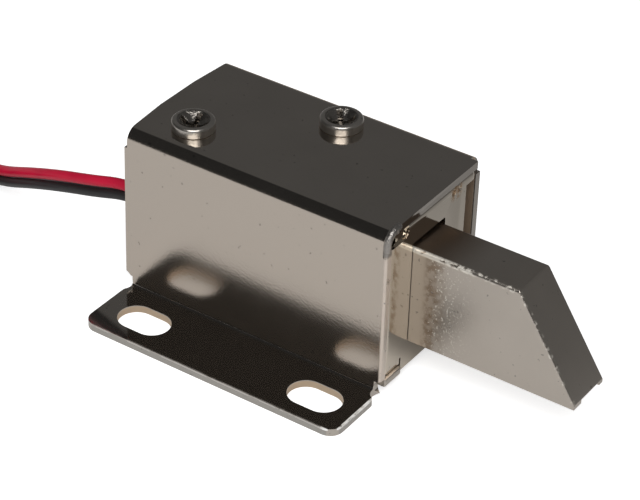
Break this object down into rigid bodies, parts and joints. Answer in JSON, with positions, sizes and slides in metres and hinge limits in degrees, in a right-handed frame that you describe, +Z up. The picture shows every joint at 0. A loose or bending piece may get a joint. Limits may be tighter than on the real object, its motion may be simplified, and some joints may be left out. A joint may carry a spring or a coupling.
{
  "type": "solenoid lock",
  "caption": "Compact electric solenoid lock: bent nickel plated steel case with a slotted mounting flange, a slanted spring latch bolt that the coil pulls in, and thin red and black leads.",
  "frame": {"origin": "middle of the lock without its leads, at the underside of the mounting flange", "axes": "+X along the bolt, out of the case; +Y away from the mounting flange; +Z up, from the flange to the top with the screws"},
  "size_m": [0.1189, 0.0359, 0.0273],
  "materials": {
    "nickel_plate": "bright nickel plated sheet steel, mirror-like with fine specks",
    "nickel_plate_frame": "bright nickel plated steel",
    "screw_nickel": "nickel plated steel",
    "bolt_nickel": "nickel plated steel, slightly mottled",
    "plunger_steel": "ground steel",
    "spring_steel": "bright drawn spring wire",
    "bobbin_plastic": "off-white moulded plastic",
    "copper_wire": "enamelled copper wire",
    "coil_tape": "amber polyester tape",
    "tube_brass": "drawn brass",
    "core_steel": "zinc plated soft iron",
    "black_rubber": "soft black rubber",
    "sleeve_black": "shrunk black tubing",
    "red_insulation": "smooth red lead insulation",
    "black_insulation": "smooth black lead insulation",
    "tinned_copper": "tinned stranded copper"
  },
  "bodies": {
    "case": {"cover": "nickel_plate", "yoke": "nickel_plate_frame", "base_plate": "nickel_plate_frame", "cover_screws": "screw_nickel", "return_spring": "spring_steel", "bobbin": "bobbin_plastic", "winding": "copper_wire", "winding_tape": "coil_tape", "guide_tube": "tube_brass", "fixed_core": "core_steel", "bumper_washer": "black_rubber", "spring_washer": "core_steel", "lead_grommet": "black_rubber", "lead_sleeves": "sleeve_black", "coil_tails": "copper_wire", "red_lead_inner": "red_insulation", "black_lead_inner": "black_insulation", "red_lead": "red_insulation", "black_lead": "black_insulation", "red_lead_coil": "red_insulation", "black_lead_coil": "black_insulation", "red_lead_end": "tinned_copper", "black_lead_end": "tinned_copper"},
    "bolt": {"latch_bolt": "bolt_nickel", "plunger": "plunger_steel", "plunger_pin": "plunger_steel"}
  },
  "joints": [
    {"name": "bolt_slide", "type": "slide", "parent": "case", "child": "bolt", "axis": [-1, 0, 0], "range_m": [0, 0.01], "stiffness_N_per_m": 150, "springref_m": -0.006, "deforming": ["return_spring"]}
  ]
}
